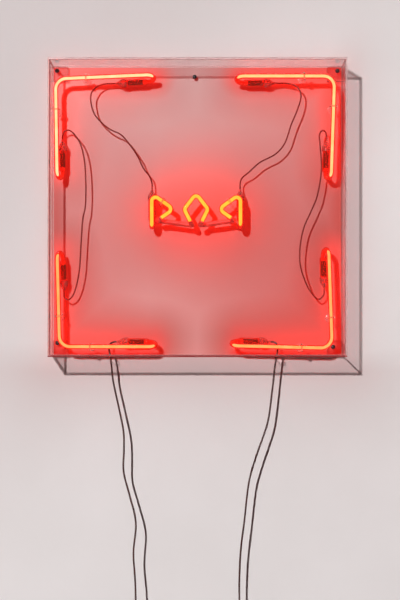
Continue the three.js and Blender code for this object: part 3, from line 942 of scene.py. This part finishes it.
def make_fixings(face, edge, black, washer):
    """The corner blocks, the screws and washers that hold them, and the hanging screw."""
    middle = PANEL_HALF - BLOCK / 2
    top = PANEL_FRONT + BLOCK_THICK
    for corner, (x, z) in SCREWS.items():
        cx = math.copysign(middle, x)
        cz = math.copysign(middle, z)
        outline = rectangle(cx - BLOCK / 2, cz - BLOCK / 2, cx + BLOCK / 2, cz + BLOCK / 2)
        block = plate(outline, -top, -PANEL_FRONT, 1, BLOCK_BEVEL, [drill(x, z)])
        dress(f"corner_block_{corner}_polished", block, [face, edge], "clear_acrylic",
              f"corner_block_{corner}", smooth=30)
        make_screw(f"corner_screw_{corner}", x, z, top + 0.3, CORNER_HEAD_RADIUS, black)
        disc = turned(WASHER_SHAPE, at(x, z, top), OUT)
        dress(f"corner_washer_{corner}", disc, washer, "electrode_metal")
    make_screw("hanging_screw", *HANGING_SCREW, HANGING_HEAD_SEAT, HANGING_HEAD_RADIUS, black)


# --- Neon tubes and their electrodes ---
LEG_GAS_RADIUS = 2.9
MOTIF_GAS_RADIUS = 3.5
RETURN_GAS_RADIUS = 3.2
LIT_FRONT = TUBE_DEPTH - 6
PAINT_LEAD_IN = 11
PAINT_LEAD_OUT = 10
PAINT_THICK = 0.12
NECK_OVERLAP = 2.6
BEND_EASE = 0.01
SPLICE_TURNS = 2.5
SPLICE_STEPS = 40
SPLICE_START = 50
SPLICE_LENGTH = 11
SPLICE_RADIUS = 0.75
WIRE_START = 38
WIRE_SPREAD = 1.6
WIRE_RADIUS = 0.5
JACKET_SHAPE = [
    (54, 1.2), (53, 2.6), (51, 4.6), (49, 6.4), (47, 7.3), (45, 7.5), (30, 7.5), (14, 7.5),
    (4, 7.5), (2.2, 7.2), (0.6, 6.3), (-0.8, 5.4), (-2, 5)]
GAS_IN_JACKET = [(8.2, 3.6), (5, 4.6), (2.5, 4.6), (0.5, 4.1), (-1.5, 3.4)]
SHELL_SHAPE = [
    (0, 36), (3.9, 36), (3.9, 9.5), (4.1, 9.1), (4.5, 8.95), (4.9, 9.1), (5, 9.5),
    (5, 11), (4.8, 11.4), (5, 11.8), (5, 35.5), (4.8, 37.2), (4, 38.5),
    (2.6, 39), (0, 39)]
HAZE_SHAPE = [(0, 8.4), (5.4, 8.4), (5.9, 10), (5.9, 43), (5, 45.5), (0, 45.5)]
BOOT_SHAPE = [
    (0, 54.4), (6.4, 50), (7.7, 47.6), (7.7, 42.4), (8, 42), (8.7, 42), (9, 42.4),
    (9, 44.2), (8.6, 44.7), (8.6, 46), (8.9, 46.4), (8.9, 47.4), (8.6, 47.8), (8.5, 50.2),
    (7.6, 52.6), (6, 55.4), (4.4, 58), (3.2, 60), (2.7, 61), (2.7, 61.6), (2.3, 61.9),
    (2.3, 62.4), (2.7, 62.7), (2.7, 63.4), (2.4, 63.9), (0, 63.9)]

# Each corner tube's corner, and where its leg across and its upright leg turn back
CORNER_TUBES = {
    "top_left": ((-288, 264), (-84, 273), (-285, 60)),
    "top_right": ((278, 270), (75, 270), (271, 59)),
    "bottom_left": ((-280, -279), (-81, -279), (-285, -83)),
    "bottom_right": ((273, -282), (65, -277), (266, -76)),
}


def along(shape, neck, direction):
    """Points and radii of a (distance, radius) shape laid out from a jacket's neck."""
    return [neck + direction * distance for distance, _ in shape], [r for _, r in shape]


def front_and_returns(run):
    """The run split where it goes behind: its front stretches, and the rest."""
    stretches = []
    for lit, points in groupby(run, lambda point: -point.y > LIT_FRONT):
        before = stretches[-1][1][-1:] if stretches else []
        stretches.append((lit, [*before, *points]))
    return [s for lit, s in stretches if lit], [s for lit, s in stretches if not lit]


def rounded(points, radius):
    """Radii for a glowing column that closes softly at both ends."""
    radii = [radius] * len(points)
    for end, share in ((0, 0.5), (1, 0.85), (-2, 0.85), (-1, 0.5)):
        radii[end] = radius * share
    return radii


def make_glass_and_gas(name, run, necks, looks, gas_radius):
    """One tube: its glass with a jacket at each end, and the lit gas inside it."""
    (neck_a, way_a), (neck_b, way_b) = necks
    start, start_radii = along(JACKET_SHAPE, neck_a, way_a)
    end, end_radii = along(JACKET_SHAPE[::-1], neck_b, way_b)
    radii = start_radii + [TUBE_RADIUS] * len(run) + end_radii
    dress(f"glass_{name}", swept(start + run + end, radii, 24), looks["glass"], "neon_glass",
          f"neon_tube_{name}", smooth=60)

    fronts, returns = front_and_returns(run)
    bright = joined([swept(points, rounded(points, gas_radius)) for points in fronts])
    look = looks["gas"].get(name, looks["gas"]["legs"])
    looks["lamps"].append(dress(f"gas_{name}", bright, look, "neon_glass", smooth=60))
    dim = []
    for points, neck, way in ((returns[0], neck_a, way_a), (returns[-1][::-1], neck_b, way_b)):
        inner, inner_radii = along(GAS_IN_JACKET, neck, way)
        dim.append(swept(inner + points, inner_radii + [RETURN_GAS_RADIUS] * len(points)))
    dress(f"gas_{name}_returns", joined(dim), looks["dim"], "neon_glass", smooth=60)


def make_electrode(name, neck, direction, looks):
    """A rolled metal shell on its lead-in wires, the glow round it and the silicone boot."""
    metal = [turned(SHELL_SHAPE, neck, direction, 28)]
    side = direction.orthogonal().normalized()
    other = direction.cross(side)
    for hand in (-1, 1):
        wire = [neck + direction * WIRE_START + side * hand * WIRE_SPREAD]
        for step in range(SPLICE_STEPS + 1):
            turn = SPLICE_TURNS * 2 * math.pi * step / SPLICE_STEPS
            spoke = side * math.cos(turn) + other * math.sin(turn)
            place = neck + direction * (SPLICE_START + SPLICE_LENGTH * step / SPLICE_STEPS)
            wire.append(place + spoke * hand * SPLICE_RADIUS)
        metal.append(swept(wire, WIRE_RADIUS, 8))
    dress(f"electrode_{name}_shell", joined(metal), looks["metal"], "electrode_metal",
          f"electrode_shell_{name}")
    haze = turned(HAZE_SHAPE, neck, direction, 24)
    dress(f"electrode_{name}_glow", haze, looks["haze"], "neon_glass")
    boot = turned(BOOT_SHAPE, neck, direction)
    dress(f"end_boot_{name}_moulded", boot, looks["silicone"], "silicone_boot",
          f"end_boot_{name}", smooth=35)


SUPPORT_SHAPE = [
    (0, 0), (8.6, 0), (9, 0.4), (9, 1.6), (8.5, 2.2), (6, 2.7), (4.2, 3.6), (3.2, 5.4),
    (2.7, 8), (2.5, 14), (2.5, 36), (2.9, 40), (3.6, 42.4), (3.4, 43.6), (0, 43.6)]
CLIP_MOUTH = 0.85
CLIP_HALF = 3.5
CLIP_STEPS = 18
CLIP_OUTER = 7.3
CLIP_INNER = 5.35
CLIP_MIDDLE = 6.3
BINDING_RADIUS = 7.55
BINDING_WIRE = 0.32
BINDING_TURNS = (-1, -0.3, 0.4, 1.1)


def clip_shape(hold, run):
    """A springy C round the tube, open to the front, with rolled lips."""
    side = OUT.cross(run)
    outline = []
    order = range(CLIP_STEPS + 1)
    reach = 2 * math.pi - 2 * CLIP_MOUTH
    for radius, steps in ((CLIP_OUTER, order), (CLIP_INNER, reversed(order))):
        for k in steps:
            angle = math.pi / 2 + CLIP_MOUTH + reach * k / CLIP_STEPS
            outline.append((radius * math.cos(angle), radius * math.sin(angle)))
    levels = ((-CLIP_HALF, 0.93), (-CLIP_HALF + 0.5, 1), (CLIP_HALF - 0.5, 1), (CLIP_HALF, 0.93))
    vertices = []
    for level, swell in levels:
        for x, y in outline:
            radius = math.hypot(x, y)
            scale = (CLIP_MIDDLE + (radius - CLIP_MIDDLE) * swell ** 4) / radius
            vertices.append(hold + side * x * scale + OUT * y * scale + run * level)
    count = len(outline)
    faces = [tuple(reversed(range(count))), *bands(len(levels), count)]
    last = (len(levels) - 1) * count
    faces.append(tuple(range(last, last + count)))
    return vertices, faces


def make_support(name, hold, run, looks):
    foot = at(hold.x, hold.z, PANEL_FRONT)
    post = joined([turned(SUPPORT_SHAPE, foot, OUT, 28), clip_shape(hold, run)])
    dress(f"tube_support_{name}_moulded", post, looks["standoff"], "clear_standoff",
          f"tube_support_{name}", smooth=35)
    turns = [ring_band(hold + run * offset, run, BINDING_RADIUS, BINDING_WIRE, 40, 6)
             for offset in BINDING_TURNS]
    dress(f"tube_binding_{name}", joined(turns), looks["copper"], "electrode_metal")


def doubled_back(end, corner, inward):
    """Where a leg turns back on itself: its turning corners, and its electrode's neck."""
    run = (end - corner).normalized()
    turn_corner = end - run * TUBE_RADIUS
    behind = turn_corner + inward * JACKET_INSET
    behind.y = -JACKET_DEPTH
    neck = behind - run * (DOUBLE_BACK / 2)
    return turn_corner, behind, neck, -run


def make_corner_tube(name, plan, looks):
    corner, across, upright = (at(*place, TUBE_DEPTH) for place in plan)
    bend = DOUBLE_BACK / 2 - BEND_EASE
    ends = [doubled_back(across, corner, at(0, -math.copysign(1, corner.z), 0)),
            doubled_back(upright, corner, at(-math.copysign(1, corner.x), 0, 0))]
    first, last = ([(neck - way * NECK_OVERLAP, 0), (behind, bend), (turn, bend)]
                   for turn, behind, neck, way in ends)
    run = bent_run([*first, (corner, CORNER_BEND), *last[::-1]])[1:-1]
    make_glass_and_gas(name, run, [end[2:] for end in ends], looks, LEG_GAS_RADIUS)
    for side, (_, _, neck, way) in zip(("across", "upright"), ends):
        make_electrode(f"{name}_{side}", neck, way, looks)
        make_support(f"{name}_{side}", corner - way * SUPPORT_FROM_CORNER, way, looks)


def motif_half():
    """Bend corners of the motif's left half, from its electrode to the diamond's side."""
    foot = -MOTIF_HALF_HEIGHT - STEM_DROP
    bend = (TUBE_DEPTH - JACKET_DEPTH) / 2 - BEND_EASE
    places = [
        (-STEM_REACH, foot, JACKET_DEPTH, bend),
        (-STEM_REACH, foot, TUBE_DEPTH, bend),
        (-STEM_REACH, MOTIF_HALF_HEIGHT, TUBE_DEPTH, MOTIF_BEND),
        (-PENNANT_APEX, 0, TUBE_DEPTH, MOTIF_BEND),
        (*PENNANT_TAIL, TUBE_DEPTH, MOTIF_DIP_BEND),
        (*PENNANT_TAIL, MOTIF_BACK_DEPTH, MOTIF_DIP_BEND),
        (-DIAMOND_FOOT, -MOTIF_HALF_HEIGHT, MOTIF_BACK_DEPTH, MOTIF_DIP_BEND),
        (-DIAMOND_FOOT, -MOTIF_HALF_HEIGHT, TUBE_DEPTH, MOTIF_DIP_BEND),
        (-DIAMOND_HALF_WIDTH, 0, TUBE_DEPTH, MOTIF_BEND),
    ]
    corners = [(at(MOTIF_MIDDLE_X + x, z, depth), radius) for x, z, depth, radius in places]
    neck = at(MOTIF_MIDDLE_X - STEM_REACH, foot + bend, JACKET_DEPTH)
    return corners, neck


def mirrored(point):
    return Vector((2 * MOTIF_MIDDLE_X - point.x, point.y, point.z))


def make_motif(looks):
    half, neck = motif_half()
    top = (at(MOTIF_MIDDLE_X, MOTIF_HALF_HEIGHT, TUBE_DEPTH), MOTIF_BEND)
    other = [(mirrored(point), radius) for point, radius in reversed(half)]
    start = (neck - UPWARD * NECK_OVERLAP, 0)
    end = (mirrored(neck) - UPWARD * NECK_OVERLAP, 0)
    run = bent_run([start, *half, top, *other, end])[1:-1]
    necks = ((neck, UPWARD), (mirrored(neck), UPWARD))
    make_glass_and_gas("motif", run, necks, looks, MOTIF_GAS_RADIUS)
    # The stretches behind the figures are painted out.
    side_end, dip = half[3][0], half[4][0]
    rise, side_start = half[7][0], half[8][0]
    lead_in = dip + (side_end - dip).normalized() * PAINT_LEAD_IN
    lead_out = rise + (side_start - rise).normalized() * PAINT_LEAD_OUT
    crossing = bent_run([(lead_in, 0), *half[4:8], (lead_out, 0)])[1:-1]
    opposite = [mirrored(point) for point in crossing]
    for hand, way, line, foot in (("left", -1, crossing, neck),
                                  ("right", 1, opposite, mirrored(neck))):
        dress(f"block_out_paint_{hand}", swept(line, TUBE_RADIUS + PAINT_THICK, 24),
              looks["paint"], "neon_glass", smooth=60)
        make_electrode(f"motif_{hand}", foot, UPWARD, looks)
        reach = way * (STEM_REACH + PENNANT_APEX) / 2
        hold = at(MOTIF_MIDDLE_X + reach, MOTIF_HALF_HEIGHT / 2, TUBE_DEPTH)
        slope = Vector((STEM_REACH - PENNANT_APEX, 0, way * MOTIF_HALF_HEIGHT)).normalized()
        make_support(f"motif_{hand}", hold, slope, looks)


# --- Stage ---
def make_stage(lamps):
    """The wall that the sign hangs on and a floor. The tubes' light is kept to the case."""
    def sheet(name, look, near, far):
        corners = [(-STAGE_HALF, *near), (STAGE_HALF, *near), (STAGE_HALF, *far),
                   (-STAGE_HALF, *far)]
        return add_piece(name, (corners, [(0, 1, 2, 3)]), look, smooth=0)

    wall = sheet("wall", wall_paint(), (WALL_GAP, FLOOR_LEVEL), (WALL_GAP, WALL_TOP))
    floor_look = worn("floor_pale", (0.54, 0.52, 0.515), (0.59, 0.57, 0.565), 0.7, scale=3)
    floor = sheet("floor", floor_look, (FLOOR_FRONT, FLOOR_LEVEL), (FLOOR_REAR, FLOOR_LEVEL))
    floor.visible_diffuse = False
    leave_out(wall, "not_lit_by_tubes", lamps, "receiver")
    return wall


# --- Build ---
make_camera()

sheath_look = worn("lead_sheath_rubber", (0.03, 0.008, 0.007), (0.07, 0.016, 0.013), 0.34,
                   scale=90, bump=0.3)
plastic_look = worn("connector_moulding", (0.015, 0.015, 0.017), (0.03, 0.03, 0.034), 0.5)
copper_look = brushed_metal("copper_wire", (0.42, 0.2, 0.12), (0.75, 0.4, 0.25), 0.3)
nickel_look = brushed_metal("electrode_nickel", (0.03, 0.02, 0.02), (0.12, 0.09, 0.09), 0.4)
washer_look = brushed_metal("washer_steel", (0.4, 0.38, 0.38), (0.62, 0.6, 0.6), 0.3)
tie_look = worn("tie_nylon", (0.02, 0.02, 0.02), (0.05, 0.05, 0.05), 0.45)
# The jumpers' red-brown is partly the cable's own colour, partly painted red light.
jumper_look = worn("jumper_sheath_rubber", (0.15, 0.012, 0.01), (0.25, 0.024, 0.018), 0.5,
                   scale=90, bump=0.3, Specular_IOR_Level=0.25)
make_jumpers(jumper_look)
for supply_side in SUPPLY_ROUTES:
    make_supply(supply_side, sheath_look, plastic_look, nickel_look, tie_look)

face_look = clear_sheet("acrylic_face", (0.985, 0.97, 0.97), 0.03)
# Cut edges: pale ones are a painted highlight, pink ones painted red light, the bottom's painted
# shade.
highlight_edge = sheet_edge("acrylic_edge_painted_highlight", (0.62, 0.42, 0.42), (0.85, 0.62, 0.61), 0.5)
red_lit_edge = sheet_edge("acrylic_edge_painted_red", (0.62, 0.24, 0.22), (0.82, 0.36, 0.32), 0.75)
shaded_edge = sheet_edge("acrylic_edge_painted_shade", (0.3, 0.03, 0.03), (0.45, 0.07, 0.07), 0.8)
edge_looks = {"front_pane": highlight_edge, "top_wall": highlight_edge, "right_wall": highlight_edge,
              "left_wall": red_lit_edge, "bottom_wall": shaded_edge}
# The beads' red is painted red light; the left bead's darker red is painted shade.
shaded_cement = worn("cement_painted_shade", (0.22, 0.02, 0.02), (0.42, 0.05, 0.045), 0.2, alpha=0.8)
red_lit_cement = worn("cement_painted_red", (0.45, 0.2, 0.2), (0.7, 0.4, 0.4), 0.2, alpha=0.4)
cement_looks = dict.fromkeys(CASE_SIDES, red_lit_cement) | {"left": shaded_cement}
black_look = worn("black_screw_zinc", (0.012, 0.012, 0.014), (0.04, 0.04, 0.045), 0.4,
                  metallic=0.5, scale=150)
make_cover(face_look, edge_looks, cement_looks)
# The blocks' dark red edges are painted shade and red light.
make_fixings(clear_sheet("acrylic_block", (0.95, 0.92, 0.92), 0.05),
             sheet_edge("block_edge", (0.3, 0.1, 0.1), (0.7, 0.5, 0.5), 0.7), black_look,
             washer_look)

make_panel(lit_panel(), red_lit_edge)

gas_colors = {"legs": (1, 0.15, 0.058), "top_left": (1, 0.25, 0.16),
              "top_right": (1, 0.22, 0.11), "motif": (1, 0.19, 0.021)}
tube_looks = {
    # The glass's red tint, colour and glow are painted red light.
    "glass": red_clear("tube_glass", (0.95, 0.25, 0.2), (0.5, 0.07, 0.05), 0.1, 0.05, 0.5),
    "gas": {key: lit_gas(f"neon_gas_{key}", color, 17.0) for key, color in gas_colors.items()},
    "dim": lit_gas("neon_gas_returns", (1, 0.05, 0.025), 0.95),
    "haze": jacket_glow(),
    "metal": nickel_look,
    # The boots' red tint and colour are painted red light.
    "silicone": red_clear("silicone_boot", (0.95, 0.5, 0.46), (0.6, 0.2, 0.17), 0.22, 0.25),
    # The clear standoffs' pink is painted red light.
    "standoff": worn("standoff_clear", (0.6, 0.3, 0.28), (0.8, 0.5, 0.48), 0.14, alpha=0.2),
    "copper": copper_look,
    "paint": block_out_paint(),
    "lamps": [],
}
for tube_name, tube_plan in CORNER_TUBES.items():
    make_corner_tube(tube_name, tube_plan, tube_looks)
make_motif(tube_looks)
make_lights(make_stage(tube_looks["lamps"]))
